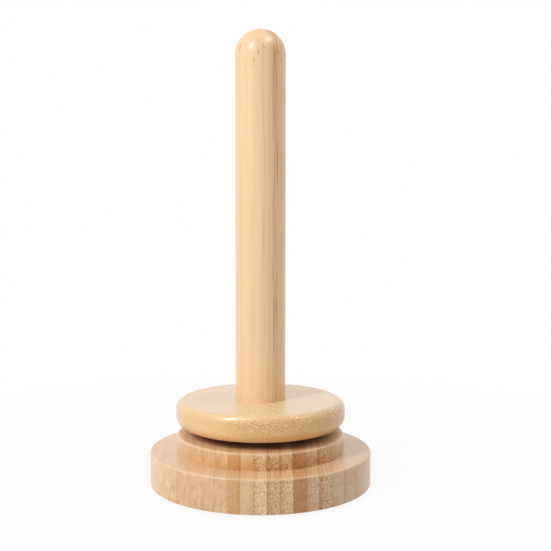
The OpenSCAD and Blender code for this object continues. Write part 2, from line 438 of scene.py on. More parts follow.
def select_disc(piece, z):
    """Selects the flat disc that lies across the axis at a height."""
    bpy.ops.mesh.select_mode(type="FACE")
    bpy.ops.mesh.select_all(action="DESELECT")
    mesh = bmesh.from_edit_mesh(piece.data)
    for face in mesh.faces:
        middle = face.calc_center_median()
        if abs(middle.z - z) < NEAR and middle.xy.length < NEAR:
            face.select_set(True)
    bmesh.update_edit_mesh(piece.data)


def select_edges(piece, *tests):
    """Selects the edges whose two ends pass the same test."""
    bpy.ops.mesh.select_mode(type="EDGE")
    bpy.ops.mesh.select_all(action="DESELECT")
    mesh = bmesh.from_edit_mesh(piece.data)
    for edge in mesh.edges:
        if any(all(test(v.co) for v in edge.verts) for test in tests):
            edge.select_set(True)
    bmesh.update_edit_mesh(piece.data)


def ring(radius, z):
    """A test for points on the circle with this radius and height."""
    return lambda point: abs(point.z - z) < NEAR and abs(point.xy.length - radius) < NEAR


def round_edges(size, segments):
    bpy.ops.mesh.bevel(offset=size, segments=segments, profile=0.5, affect="EDGES", clamp_overlap=False)


def finish_piece(piece):
    bpy.ops.mesh.select_all(action="SELECT")
    bpy.ops.mesh.remove_doubles(threshold=MERGE)
    bpy.ops.mesh.normals_make_consistent(inside=False)
    bpy.ops.object.mode_set(mode="OBJECT")
    bpy.ops.object.shade_smooth_by_angle(angle=SHARP)
    print(piece.name, len(piece.data.polygons), "faces")


print("edges sharper than", round(math.degrees(SHARP)), "degrees stay sharp")

# %% [markdown]
# ### Base
#
# The base starts as a disc on the pads. It is pulled up to the ledge, narrowed to the upper tier and
# pulled up to the top. The bearing's seat is then sunk from the top, and the bolt's well goes through to
# the underside. The edges that show are rounded a little, as sanding leaves them. The hole could be cut
# with a boolean, but a bridge between two open rings keeps the mesh clean.

# %% Base
base_low, base_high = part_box("base_block")
seat_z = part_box("bearing_outer_ring")[0].z
BASE_R = base_high.x
UPPER_TIER_R = 38.0 * MM
LOWER_TIER_H = 15.0 * MM
SEAT_R = 11.02 * MM
WELL_R = 9.0 * MM
WELL_CHAMFER = 0.6 * MM
LEDGE_ROUND = 0.8 * MM
BOTTOM_ROUND = 0.4 * MM
RIM_ROUND = 1.2 * MM

ledge_z = base_low.z + LOWER_TIER_H
base = start_disc("turned_base", BASE_R, (0, 0, base_low.z))
pull(LOWER_TIER_H)
narrow(BASE_R, UPPER_TIER_R)
pull(base_high.z - ledge_z)
narrow(UPPER_TIER_R, SEAT_R)
pull(seat_z - base_high.z)
narrow(SEAT_R, WELL_R)
bpy.ops.mesh.delete(type="FACE")
select_disc(base, base_low.z)
narrow(BASE_R, WELL_R + WELL_CHAMFER)
narrow(WELL_R + WELL_CHAMFER, WELL_R)
bpy.ops.transform.translate(value=(0, 0, WELL_CHAMFER))
bpy.ops.mesh.delete(type="FACE")
select_edges(base, ring(WELL_R, base_low.z + WELL_CHAMFER), ring(WELL_R, seat_z))
bpy.ops.mesh.bridge_edge_loops()
select_edges(base, ring(BASE_R, base_low.z))
round_edges(BOTTOM_ROUND, segments=5)
select_edges(base, ring(BASE_R, ledge_z))
round_edges(LEDGE_ROUND, segments=5)
select_edges(base, ring(UPPER_TIER_R, base_high.z))
round_edges(RIM_ROUND, segments=6)
finish_piece(base)
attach(base, "base")
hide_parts("base_block")

# %% [markdown]
# ### Platter
#
# The platter is a disc with two large rounded edges, so most of its side is curved. It has a socket from
# above for the spindle's tenon and a plain hole for the bolt. The bevels have many segments, because a
# highlight lies on them and would show every facet.

# %% Platter
platter_low, platter_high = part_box("platter")
spindle_low, spindle_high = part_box("spindle")
PLATTER_R = platter_high.x
SPINDLE_R = spindle_high.x
PRESS_GAP = 0.02 * MM
TENON_SHOULDER = 2.0 * MM
BOLT_HOLE_R = 4.18 * MM
PLATTER_TOP_ROUND = 4.0 * MM
PLATTER_BOTTOM_ROUND = 5.0 * MM

socket_r = SPINDLE_R - TENON_SHOULDER + PRESS_GAP
platter = start_disc("rounded_platter", PLATTER_R, (0, 0, platter_low.z))
pull(platter_high.z - platter_low.z)
narrow(PLATTER_R, SPINDLE_R + PRESS_GAP)
narrow(SPINDLE_R + PRESS_GAP, socket_r)
bpy.ops.transform.translate(value=(0, 0, -TENON_SHOULDER))
pull(spindle_low.z + TENON_SHOULDER - platter_high.z)
narrow(socket_r, BOLT_HOLE_R)
bpy.ops.mesh.delete(type="FACE")
select_disc(platter, platter_low.z)
narrow(PLATTER_R, BOLT_HOLE_R)
bpy.ops.mesh.delete(type="FACE")
select_edges(platter, ring(BOLT_HOLE_R, platter_low.z), ring(BOLT_HOLE_R, spindle_low.z))
bpy.ops.mesh.bridge_edge_loops()
select_edges(platter, ring(PLATTER_R, platter_high.z))
round_edges(PLATTER_TOP_ROUND, segments=14)
select_edges(platter, ring(PLATTER_R, platter_low.z))
round_edges(PLATTER_BOTTOM_ROUND, segments=16)
finish_piece(platter)
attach(platter, "turntable")
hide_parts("platter")

# %% [markdown]
# ### Spindle
#
# The spindle's top is half a ball. So a ball is cut at its equator, the lower half is dropped, and the
# open edge is drawn down to the platter in even steps. Under the platter's face the edge is brought in
# to the sloping shoulder, the tenon and the bore that holds the threaded insert. A bevel on a cylinder
# could make the dome too, but one as large as the radius folds over at the tip.

# %% Spindle
BORE_R = 6.02 * MM
BORE_DEPTH = 20.0 * MM
BALL_RINGS = 64
SPINDLE_ROWS = 30

dome_z = spindle_high.z - SPINDLE_R
bpy.ops.object.select_all(action="DESELECT")
bpy.ops.mesh.primitive_uv_sphere_add(segments=SEGMENTS, ring_count=BALL_RINGS, radius=SPINDLE_R,
                                     location=(0, 0, dome_z))
spindle = bpy.context.object
spindle.name = spindle.data.name = "domed_spindle"
bpy.ops.object.transform_apply(location=True, rotation=True, scale=True)
bpy.ops.object.mode_set(mode="EDIT")
bpy.ops.mesh.select_all(action="SELECT")
bpy.ops.mesh.bisect(plane_co=(0, 0, dome_z), plane_no=(0, 0, 1), clear_inner=True)
select_edges(spindle, ring(SPINDLE_R, dome_z))


def draw_down(height, scale=1.0):
    """Extrudes the open edge downwards and scales the new ring about the axis."""
    pull(-height)
    bpy.ops.transform.resize(value=(scale, scale, 1), center_override=(0, 0, 0))


for row in range(SPINDLE_ROWS):
    draw_down((dome_z - platter_high.z) / SPINDLE_ROWS)
tenon_r = SPINDLE_R - TENON_SHOULDER
draw_down(TENON_SHOULDER, tenon_r / SPINDLE_R)
draw_down(platter_high.z - TENON_SHOULDER - spindle_low.z)
draw_down(0, BORE_R / tenon_r)
draw_down(-BORE_DEPTH)
bpy.ops.mesh.fill()
finish_piece(spindle)
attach(spindle, "turntable")
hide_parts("spindle")

# %% [markdown]
# ### Foot pads
#
# Four round rubber pads are stuck under the base. One is drawn as a disc, pulled up to its thickness and
# softened with a bevel round its lower edge. The other three are copies of it, turned about the axis,
# each with its own mesh. An array could repeat it, but each pad replaces a node and so needs a name of
# its own.

# %% Foot pads
PAD_COUNT = 4
PAD_SEGMENTS = 72
PAD_EDGE = 0.4 * MM

pad_low, pad_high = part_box("foot_pad_1")
pad_middle = (pad_low + pad_high) / 2
pad_r = (pad_high.x - pad_low.x) / 2
first_pad = start_disc("rubber_pad_1", pad_r, (pad_middle.x, pad_middle.y, pad_low.z), PAD_SEGMENTS)
pull(pad_high.z - pad_low.z)
select_edges(first_pad, lambda point: abs(point.z - pad_low.z) < NEAR)
round_edges(PAD_EDGE, segments=4)
finish_piece(first_pad)

pads = [first_pad]
for number in range(2, PAD_COUNT + 1):
    bpy.ops.object.select_all(action="DESELECT")
    first_pad.select_set(True)
    bpy.context.view_layer.objects.active = first_pad
    bpy.ops.object.duplicate(linked=False)
    pad = bpy.context.object
    pad.name = pad.data.name = f"rubber_pad_{number}"
    pad.rotation_euler.z = (number - 1) * 2 * math.pi / PAD_COUNT
    bpy.ops.object.transform_apply(location=True, rotation=True, scale=True)
    pads.append(pad)
for number, pad in enumerate(pads, 1):
    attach(pad, "base")
    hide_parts(f"foot_pad_{number}")
print("pads:", [pad.name for pad in pads])

# %% [markdown]
# ### Lamps for single pieces
#
# A lamp can be linked to one piece, and it can give its light without its shine or its shine without its
# light. The spindle gets two lamps of its own. A low strip draws the faint upright streak on its side,
# and a lamp high on the right gives its dome a second, weaker highlight.
#
# The platter's flat top would mirror the soft box as a white glare to anyone who stands at the back
# right. So the soft box leaves the platter out. A twin of it lights the platter without shine, and a
# higher lamp adds the shine alone, which then lies on the rounded edge.

# %% Lamps for single pieces
def link_lamp(lamp, piece, state):
    """Makes a lamp light one piece alone, or all but that piece."""
    linked = bpy.data.collections.new(lamp.name + "_pieces")
    linked.objects.link(piece)
    linked.collection_objects[0].light_linking.link_state = state
    lamp.light_linking.receiver_collection = linked


strip_lamp = add_lamp("strip_lamp", place=(-1.07, -1.05, 0.51), width=0.20, tall=0.67, power=1.7)
dome_lamp = add_lamp("dome_lamp", place=(0.55, -0.32, 1.34), width=0.45, tall=0.30, power=5.0)
dome_lamp.visible_diffuse = False
platter_lamp = add_lamp("platter_lamp", **SOFT_BOX)
platter_lamp.visible_glossy = False
glint_lamp = add_lamp("glint_lamp", place=(-0.715, -0.36, 1.43), width=0.30, tall=0.50, power=10.8)
glint_lamp.visible_diffuse = False
link_lamp(strip_lamp, spindle, "INCLUDE")
link_lamp(dome_lamp, spindle, "INCLUDE")
link_lamp(platter_lamp, platter, "INCLUDE")
link_lamp(glint_lamp, platter, "INCLUDE")
link_lamp(key_lamp, platter, "EXCLUDE")
print("linked:", strip_lamp.name, dome_lamp.name, platter_lamp.name, glint_lamp.name, key_lamp.name)

# %% [markdown]
# ## Bamboo
#
# Bamboo isn't wood with rings. A strip of it is pale and even, with thousands of stiff fibre bundles
# that run straight along it. Cut across, they are brown dots, dense near the skin side of the strip and
# sparse near the other. Cut along, the same bundles are fine streaks. One solid pattern gives both:
# cells in the two directions across the fibres, which wander only slowly along them. The surface then
# shows whichever cut it makes. A flat pattern could be wrapped round each piece, but it would break at
# every edge.
#
# Boards are glued from strips of one thickness, each with its own tone. So the place is first cut into
# strips across its X, and each strip jumps to a random part of the pattern. Some bamboo also sways a
# little along its length.

# %% Bamboo strips
SWAY_CELL = (30.0, 30.0, 55.0)
STRIP_JUMP = (157.0, 211.0, 307.0)

grain, given, made = new_group(
    "bamboo_grain",
    [("Vector", "Place"), ("Vector", "Facing"), ("Float", "Strip thickness"), ("Float", "Strip shift"),
     ("Float", "Mixed sides"), ("Float", "Bundle spacing"), ("Float", "Inner bundles"),
     ("Float", "Skin bundles"), ("Float", "Scatter"), ("Float", "Sway"), ("Float", "Seed")],
    [("Float", "Strip"), ("Float", "Chance"), ("Float", "Skin side"), ("Float", "Bundles"), ("Float", "Pith"),
     ("Float", "Fibres"), ("Float", "Clouds"), ("Float", "Seam"), ("Float", "End grain")])
tree = grain
leaning = sums(tree, "SUBTRACT", noise(tree, stretched(tree, given["Place"], SWAY_CELL), detail=1.0), 0.5)
sway = add_node(tree, "ShaderNodeCombineXYZ")
plug(tree, product(tree, leaning, given["Sway"]), sway.inputs["X"])
swayed = vector_sums(tree, "ADD", given["Place"], sway.outputs[0])
from_first = sums(tree, "SUBTRACT", axes(tree, swayed)["X"], given["Strip shift"])
in_strips = sums(tree, "DIVIDE", from_first, given["Strip thickness"])
strip = sums(tree, "FLOOR", in_strips)
across = sums(tree, "FRACT", in_strips)
chance = add_node(tree, "ShaderNodeTexWhiteNoise", noise_dimensions="1D")
plug(tree, sums(tree, "ADD", strip, given["Seed"]), chance.inputs["W"])
jump = vector_sums(tree, "MULTIPLY", chance.outputs["Color"], STRIP_JUMP)
place = vector_sums(tree, "ADD", swayed, jump)
plug(tree, strip, made["Strip"])
plug(tree, chance.outputs["Value"], made["Chance"])
print("bamboo strips:", len(tree.nodes), "nodes")

# %% [markdown]
# The bundles are points in rows that cross the strip at an angle. Scatter says how far they stray from
# their rows. They are thicker towards the skin side, which a glued strip can turn to either hand. Each
# bundle has a soft edge, and between the bundles lies pale pith. Both fade in and out along the strip.

# %% Bamboo bundles
ROW_TURN = 0.62
DRIFT_CELL = (7.0, 7.0, 45.0)
DRIFT = (2.0, 2.0, 0.0)
UNEVEN = 0.16
SOFT = 0.12
FADE_CELL = (1.4, 1.4, 26.0)

wander = noise(tree, stretched(tree, place, DRIFT_CELL), detail=1.0, output="Color")
wandered = vector_sums(tree, "ADD", place, vector_sums(tree, "MULTIPLY", wander, DRIFT))
rows = add_node(tree, "ShaderNodeVectorRotate", rotation_type="Z_AXIS")
plug(tree, wandered, rows.inputs["Vector"])
rows.inputs["Angle"].default_value = ROW_TURN
spacing = add_node(tree, "ShaderNodeCombineXYZ")
for socket in spacing.inputs:
    plug(tree, given["Bundle spacing"], socket)
bundles = spots(tree, stretched(tree, rows.outputs[0], spacing.outputs[0]), given["Scatter"], dimensions="2D")

mixed = product(tree, chance.outputs["Value"], given["Mixed sides"])
turned_over = sums(tree, "GREATER_THAN", mixed, 0.5)
skin = sums(tree, "ABSOLUTE", sums(tree, "SUBTRACT", turned_over, across))
dense = product(tree, skin, skin)
growth = sums(tree, "SUBTRACT", given["Skin bundles"], given["Inner bundles"])
grown = sums(tree, "MULTIPLY_ADD", dense, growth, given["Inner bundles"])
uneven = sums(tree, "MULTIPLY_ADD", bundles["Color"], UNEVEN, -UNEVEN / 2)
beyond = sums(tree, "SUBTRACT", bundles["Distance"], sums(tree, "ADD", grown, uneven))
fade = remap(tree, noise(tree, stretched(tree, place, FADE_CELL), detail=1.0), 0.36, 0.60, 0.25, 1.0)
plug(tree, dense, made["Skin side"])
plug(tree, product(tree, remap(tree, beyond, -SOFT, SOFT, 1.0, 0.0), fade), made["Bundles"])
plug(tree, product(tree, remap(tree, beyond, SOFT, 3 * SOFT), fade), made["Pith"])
print("with bundles:", len(tree.nodes), "nodes")

# %% [markdown]
# The fibres are a fine streaky noise, and the clouds a broad one. The seam is the thin dark line of glue
# between two strips. Finish soaks into the open ends of the fibres, so a cut across them is darker and
# more contrasty than one along them. The group therefore also tells how much of the end grain a surface
# shows, from the direction it faces.

# %% Bamboo fibres
FIBRE_CELL = (0.28, 0.28, 28.0)
CLOUD_CELL = (3.5, 3.5, 60.0)
SEAM_CORE, SEAM_REACH = 0.04, 0.24

to_seam = sums(tree, "MINIMUM", across, sums(tree, "SUBTRACT", 1.0, across))
seam_mm = product(tree, to_seam, given["Strip thickness"])
plug(tree, noise(tree, stretched(tree, place, FIBRE_CELL), detail=3.0, roughness=0.6), made["Fibres"])
plug(tree, noise(tree, stretched(tree, place, CLOUD_CELL)), made["Clouds"])
plug(tree, remap(tree, seam_mm, SEAM_CORE, SEAM_REACH, 1.0, 0.0), made["Seam"])
plug(tree, sums(tree, "ABSOLUTE", axes(tree, given["Facing"])["Z"]), made["End grain"])


def use_grain(tree, turn, **values):
    facing = turned_input(tree, "Normal", turn, 1)
    return use_group(tree, grain, Place=place_mm(tree, turn), Facing=facing, **values)


print("bamboo grain group has", len(grain.nodes), "nodes")

# %% [markdown]
# ### Sanded edges
#
# Sanding works hardest on a corner, so the rims of turned wood are a little paler than the faces beside
# them; on the base that paler rim is also a painted highlight. The group gives 1 on a round edge and
# fades to 0 within a width, from the distance to the edge in the turned profile. It also serves where
# lacquer gathers at an edge, and where finish soaks in and painted shade lies in a corner. The mesh's
# Pointiness could find edges too, but it depends on how finely a piece is divided. On turned pieces the
# distance is exact.

# %% Sanded edges
sanded, given, made = new_group(
    "sanded_edge", [("Vector", "Place"), ("Float", "Radius"), ("Float", "Height"), ("Float", "Width")],
    [("Float", "Edge")])
tree = sanded
spot = axes(tree, given["Place"])
outwards = sums(tree, "SUBTRACT", distance(tree, spot["X"], spot["Y"]), given["Radius"])
upwards = sums(tree, "SUBTRACT", spot["Z"], given["Height"])
plug(tree, remap(tree, distance(tree, outwards, upwards), 0.0, given["Width"], 1.0, 0.0), made["Edge"])
print("sanded edge group has", len(tree.nodes), "nodes")

# %% [markdown]
# ### Level faces
#
# The top of the base and the underside of the platter look at each other across a gap of a few
# millimetres, deep in shade. The group's first mask finds such a face by its height and radius and paints
# that shade: it is strong well inside and fades towards the rim, where light still reaches. The second
# mask is 1 on the whole face. It takes the coat off the base's top, and marks the platter's top, which is
# painted paler as a painted sheen. A second material on those faces would have a hard border.

# %% Level faces
FACE_DEPTH = 0.5 * MM
# Painted shade in the gap: it begins this far inside the rim and is full further in, towards dark brown.
RIM_MARGIN, GAP_SHADE_FULL_AT = 3.0 * MM, 12.0 * MM
GAP_SHADE_SHARE = 0.60
GAP_SHADE_BROWN = linear(100, 52, 22)

shade_and_face_group, given, made = new_group(
    "gap_shade_and_face", [("Vector", "Place"), ("Float", "Radius"), ("Float", "Height")],
    [("Float", "Hidden"), ("Float", "Face")])
tree = shade_and_face_group
spot = axes(tree, given["Place"])
inside = sums(tree, "SUBTRACT", given["Radius"], distance(tree, spot["X"], spot["Y"]))
level = sums(tree, "ABSOLUTE", sums(tree, "SUBTRACT", spot["Z"], given["Height"]))
on_face = remap(tree, level, 0.2 * FACE_DEPTH, FACE_DEPTH, 1.0, 0.0)
# The painted shade in the gap: strong well inside, fading towards the rim.
gap_shade = remap(tree, inside, RIM_MARGIN, GAP_SHADE_FULL_AT, 0.0, GAP_SHADE_SHARE)
plug(tree, product(tree, gap_shade, on_face), made["Hidden"])
plug(tree, product(tree, remap(tree, inside, 0.0, RIM_MARGIN), on_face), made["Face"])
print("hidden faces are up to", GAP_SHADE_SHARE, "painted gap shade")

# %% [markdown]
# ### The base's finish
#
# The base has a thin satin finish. Its strips stand on edge and run from front to back, so the front
# shows the dots of the fibre ends, and the ledge and the two sides show streaks. The strips differ in
# tone: most are pale, some are toasted darker. Their order from left to right follows the real one. A
# colour ramp without blending holds them, and the fourth number of a tone is how strongly its dots show.
# Random tones would be simpler, but this order is what the eye knows the piece by.

# %% Strips of the base
STRIP_T = 5.467
STRIP_EDGE = 2.55
FIRST_STRIP = -10
ALONG_Y = (math.pi / 2, 0, 0)


def tone(red, green, blue, dots):
    return linear(red, green, blue)[:3] + (dots,)


TONES = {
    "pale": tone(246, 207, 166, 0.12),
    "blush": tone(232, 193, 152, 0.15),
    "light": tone(227, 190, 147, 0.25),
    "dotted": tone(243, 210, 166, 0.78),
    "golden": tone(211, 160, 106, 0.40),
    "mid": tone(218, 177, 126, 1.0),
    "tan": tone(228, 195, 150, 0.92),
    "grey": tone(212, 179, 142, 0.70),
    "ash": tone(217, 184, 143, 0.38),
    "toasted": tone(173, 109, 46, 0.24),
    "rosy": tone(220, 176, 134, 0.12),
}
STRIP_TONES = ("pale pale pale blush blush blush blush golden light dotted"
               " mid tan toasted grey mid ash ash rosy rosy pale").split()

base_bamboo, tree, shader = new_material("base_bamboo_matt")
strips = use_grain(tree, ALONG_Y, Strip_thickness=STRIP_T, Strip_shift=STRIP_EDGE, Mixed_sides=1.0,
                   Bundle_spacing=0.78, Inner_bundles=0.30, Skin_bundles=0.48, Scatter=0.62, Seed=5851.0)
order = add_node(tree, "ShaderNodeValToRGB")
ramp = order.color_ramp
ramp.interpolation = "CONSTANT"
ramp.elements.remove(ramp.elements[0])
for number, name in enumerate(STRIP_TONES):
    start = number / len(STRIP_TONES)
    stop = ramp.elements.new(start) if number else ramp.elements[0]
    stop.position = start
    stop.color = TONES[name]
from_left = sums(tree, "SUBTRACT", strips["Strip"], FIRST_STRIP - 0.5)
plug(tree, sums(tree, "DIVIDE", from_left, len(STRIP_TONES)), order.inputs[0])
strip_tone, strip_dots = order.outputs["Color"], order.outputs["Alpha"]
print("strips across the base:", len(STRIP_TONES))

# %% [markdown]
# On each strip's own tone come clouds, the brown of the skin side, pale pith, brown dots and pale
# fibres. Cut along, the strips look more alike and their dots are weak streaks. Close to the step's
# corner the ends have soaked up more finish, and there the dots show more.

# %% Fibres of the base
ALONG_TONE = linear(232, 194, 152)
CLOUD_TONE = linear(206, 156, 112)
SKIN_TONE = linear(162, 106, 58)
PITH_TONE = linear(253, 228, 190)
DOT_TONE = linear(156, 98, 48)
FIBRE_TONE = linear(250, 220, 182)
PITH_SHARE, DOT_SHARE = 0.55, 0.90
CORNER_SOAK_AND_SHADE_REACH = 9.0 * MM
SOAKED = 0.45

place = object_place(tree)
# This corner mask serves both the soaked dots and the painted shade on the wall above the corner.
corner = use_group(tree, sanded, Place=place, Radius=UPPER_TIER_R, Height=ledge_z, Width=CORNER_SOAK_AND_SHADE_REACH)["Edge"]
end_share = remap(tree, strips["End grain"], 0.15, 0.75)
ground = blend(tree, remap(tree, end_share, 0.0, 1.0, 0.42, 0.0), strip_tone, ALONG_TONE)
cloudy = blend(tree, remap(tree, strips["Clouds"], 0.3, 0.7, 0.0, 0.45), ground, CLOUD_TONE)
soaked = sums(tree, "MULTIPLY_ADD", corner, SOAKED, 1.0)
contrast = product(tree, strip_dots, remap(tree, end_share, 0.0, 1.0, 0.30, 1.0), soaked)
skin_share = product(tree, remap(tree, strips["Skin side"], 0.35, 1.0, 0.0, 0.45), contrast)
browned = blend(tree, skin_share, cloudy, SKIN_TONE)
pithy = blend(tree, product(tree, strips["Pith"], contrast, PITH_SHARE), browned, PITH_TONE)
dotted = blend(tree, product(tree, strips["Bundles"], contrast, DOT_SHARE), pithy, DOT_TONE)
streaked = blend(tree, remap(tree, strips["Fibres"], 0.40, 0.75, 0.0, 0.25), dotted, FIBRE_TONE)
print("base colour up to the fibres:", len(tree.nodes), "nodes")

# %% [markdown]
# Strips with few dots are softly mottled instead. Some seams are darker than others. A warm multiplied
# tint darkens the upper tier's wall above the step's corner, which is painted shade under the platter.
# The two rims are painted paler, partly as sanding wear and partly as a painted highlight, and the top
# under the platter is painted dark brown as shade.

# %% Wear and painted light of the base
MOTTLE_CELL = (1.3, 6.0, 40.0)
MOTTLE_TONE = linear(198, 148, 106)
GLUE_TONE = linear(140, 86, 46)
CORNER_SHADE_TINT = (0.93, 0.80, 0.52, 1.0)
LEDGE_PALE_WIDTH, RIM_PALE_WIDTH = 1.2 * MM, 1.4 * MM
EDGE_WEAR_AND_HIGHLIGHT_SHARE = 0.32
EDGE_WEAR_AND_HIGHLIGHT_TONE = linear(250, 220, 180)

speckled = remap(tree, strip_dots, 0.16, 0.25)
plain = remap(tree, speckled, 0.0, 1.0, 1.0, 0.0)
mottle = noise(tree, stretched(tree, place_mm(tree, ALONG_Y), MOTTLE_CELL), detail=3.0)
mottle_share = product(tree, remap(tree, mottle, 0.42, 0.70, 0.0, 0.5), plain,
                       remap(tree, end_share, 0.35, 1.0, 0.06, 1.0))
mottled = blend(tree, mottle_share, streaked, MOTTLE_TONE)
seam_share = product(tree, strips["Seam"], remap(tree, strips["Chance"], 0.6, 1.0, 0.04, 0.42),
                     remap(tree, speckled, 0.0, 1.0, 0.35, 1.0))
glued = blend(tree, seam_share, mottled, GLUE_TONE)
# Painted shade: a warm multiplied tint on the upper tier's end-grain wall, strongest near the corner.
corner_shade_share = product(tree, corner, end_share, remap(tree, speckled, 0.0, 1.0, 0.60, 0.90))
corner_shaded = blend(tree, corner_shade_share, glued, CORNER_SHADE_TINT, mode="MULTIPLY")
ledge_edge = use_group(tree, sanded, Place=place, Radius=BASE_R, Height=ledge_z, Width=LEDGE_PALE_WIDTH)["Edge"]
rim_edge = use_group(tree, sanded, Place=place, Radius=UPPER_TIER_R, Height=base_high.z,
                     Width=RIM_PALE_WIDTH)["Edge"]
# The rims are painted paler: partly sanding wear, partly a painted highlight.
edge_wear_and_highlight = product(tree, sums(tree, "MAXIMUM", ledge_edge, rim_edge), EDGE_WEAR_AND_HIGHLIGHT_SHARE)
worn = blend(tree, edge_wear_and_highlight, corner_shaded, EDGE_WEAR_AND_HIGHLIGHT_TONE)
top = use_group(tree, shade_and_face_group, Place=place, Height=base_high.z, Radius=UPPER_TIER_R)
# Painted shade: the top in the gap blends towards dark brown.
plug(tree, blend(tree, top["Hidden"], worn, GAP_SHADE_BROWN), shader.inputs["Base Color"])
print("base colour:", len(tree.nodes), "nodes")

# %% [markdown]
# The wood itself is nearly matt, with fibres that stand up a little. The satin finish is a thin coat
# over it, and the top in the gap has none.

# %% Shine of the base
plug(tree, remap(tree, strips["Fibres"], 0.2, 0.8, 0.50, 0.65), shader.inputs["Roughness"])
shader.inputs["Specular IOR Level"].default_value = 0.20
plug(tree, sums(tree, "SUBTRACT", 1.0, top["Face"]), shader.inputs["Coat Weight"])
shader.inputs["Coat Roughness"].default_value = 0.28
shader.inputs["Coat IOR"].default_value = 1.4
raised = sums(tree, "SUBTRACT", strips["Fibres"], strips["Bundles"])
add_bump(tree, shader, raised, strength=0.25, depth=0.1 * MM)
base.data.materials.append(base_bamboo)
print(base.name, "has", base_bamboo.name)

# %% [markdown]
# ### The platter's finish
#
# The platter is one lacquered board, so it is warmer. Its fibres run level and come out at the front
# right: there the band is speckled, and at the front left it is streaked. Grain that followed the rim
# would look painted on, because a board's fibres run straight through. Lacquer has run down the band and
# filled the dots low on it. The top is painted paler, a painted sheen of the white studio. The face in
# the gap is painted dark brown as shade.

# %% Colour of the platter
PLATTER_TURN = (math.pi / 2, math.radians(40), 0)
BOARD_LONG, BOARD_ENDS = linear(239, 196, 139), linear(219, 169, 104)
BOARD_CLOUD = linear(226, 172, 106)
BOARD_PITH = linear(252, 222, 172)
BOARD_DOT = linear(176, 112, 50)
BOARD_FIBRE = linear(252, 222, 176)
# Painted sheen: the whole top is painted paler, as the white studio's reflection makes it look.
TOP_SHEEN_TONE = linear(231, 209, 178)
TOP_SHEEN_SHARE = 0.45
FILLED_BELOW, OPEN_ABOVE = 2.0 * MM, 8.0 * MM
FILLED_SHARE = 0.35

platter_bamboo, tree, shader = new_material("platter_bamboo_lacquered")
board = use_grain(tree, PLATTER_TURN, Strip_thickness=24.0, Strip_shift=-15.0, Mixed_sides=1.0,
                  Bundle_spacing=1.05, Inner_bundles=0.30, Skin_bundles=0.40, Scatter=0.5, Seed=11.0)
place = object_place(tree)
end_share = remap(tree, board["End grain"], 0.25, 0.85)
ground = blend(tree, end_share, BOARD_LONG, BOARD_ENDS)
cloudy = blend(tree, remap(tree, board["Clouds"], 0.3, 0.7, 0.0, 0.30), ground, BOARD_CLOUD)
open_dots = remap(tree, axes(tree, place)["Z"], platter_low.z + FILLED_BELOW, platter_low.z + OPEN_ABOVE,
                  FILLED_SHARE, 1.0)
pith_share = product(tree, board["Pith"], remap(tree, end_share, 0.0, 1.0, 0.10, 0.60), open_dots)
pithy = blend(tree, pith_share, cloudy, BOARD_PITH)
dot_share = product(tree, board["Bundles"], remap(tree, end_share, 0.0, 1.0, 0.16, 0.55), open_dots)
dotted = blend(tree, dot_share, pithy, BOARD_DOT)
streaked = blend(tree, remap(tree, board["Fibres"], 0.40, 0.75, 0.0, 0.30), dotted, BOARD_FIBRE)
top = use_group(tree, shade_and_face_group, Place=place, Height=platter_high.z, Radius=PLATTER_R)
# Painted sheen on the top face.
sheened_top = blend(tree, product(tree, top["Face"], TOP_SHEEN_SHARE), streaked, TOP_SHEEN_TONE)
# Painted shade: the underside in the gap blends towards dark brown.
below = use_group(tree, shade_and_face_group, Place=place, Height=platter_low.z, Radius=PLATTER_R - PLATTER_BOTTOM_ROUND)
plug(tree, blend(tree, below["Hidden"], sheened_top, GAP_SHADE_BROWN), shader.inputs["Base Color"])
print("platter colour:", len(tree.nodes), "nodes")

# %% [markdown]
# The lacquer mirrors the white studio in the top, a little duller where the yarn rubs. It was brushed
# on, so it ripples. On the rounded upper edge it is thickest and its ripples are strongest, which breaks
# the highlight up.

# %% Shine of the platter
RUBBED_DULL = 0.03
LACQUER_REACH = 8.0 * MM
FIBRE_HEIGHT = 0.4

polish = remap(tree, board["Fibres"], 0.2, 0.8, 0.18, 0.28)
plug(tree, sums(tree, "MULTIPLY_ADD", top["Face"], RUBBED_DULL, polish), shader.inputs["Roughness"])
shader.inputs["IOR"].default_value = 1.62
edge = use_group(tree, sanded, Place=place, Radius=PLATTER_R, Height=platter_high.z,
                 Width=LACQUER_REACH)["Edge"]
plug(tree, remap(tree, edge, 0.3, 0.9, 0.10, 0.60), shader.inputs["Coat Weight"])
shader.inputs["Coat Roughness"].default_value = 0.25
ripple = noise(tree, place_mm(tree), scale=0.45)
waves = sums(tree, "MULTIPLY_ADD", board["Fibres"], FIBRE_HEIGHT, ripple)
level = sums(tree, "SUBTRACT", waves, 0.5 * FIBRE_HEIGHT + 0.5)
raised = product(tree, level, remap(tree, edge, 0.0, 1.0, 0.25, 1.0))
add_bump(tree, shader, raised, strength=1.0, depth=0.3 * MM)
platter.data.materials.append(platter_bamboo)
print(platter.name, "has", platter_bamboo.name)

# %% [markdown]
# ### The spindle's finish
#
# The spindle's fibres run up and down, so its sides are streaked, and the dome cuts across them into
# dots and dashes. It is turned from two strips glued together right of the middle, a little askew to the
# front. The wider one has its brown skin side there, and is toasted towards the top.

# %% Strips of the spindle
ROD_TURN = (0, 0, math.radians(-14))
ROD_STRIP_T = 20.0
SKIN_PLACE = 5.25
ROD_LIGHT, ROD_DARK = linear(239, 202, 158), linear(234, 195, 149)
SECOND_TONE, SECOND_SHARE = linear(214, 166, 110), 0.06
TOAST_TONE = linear(202, 143, 70)
TOAST_LEAST, TOAST_MOST = 0.08, 0.55
TOAST_FROM, TOAST_FULL = 45.0, 8.0

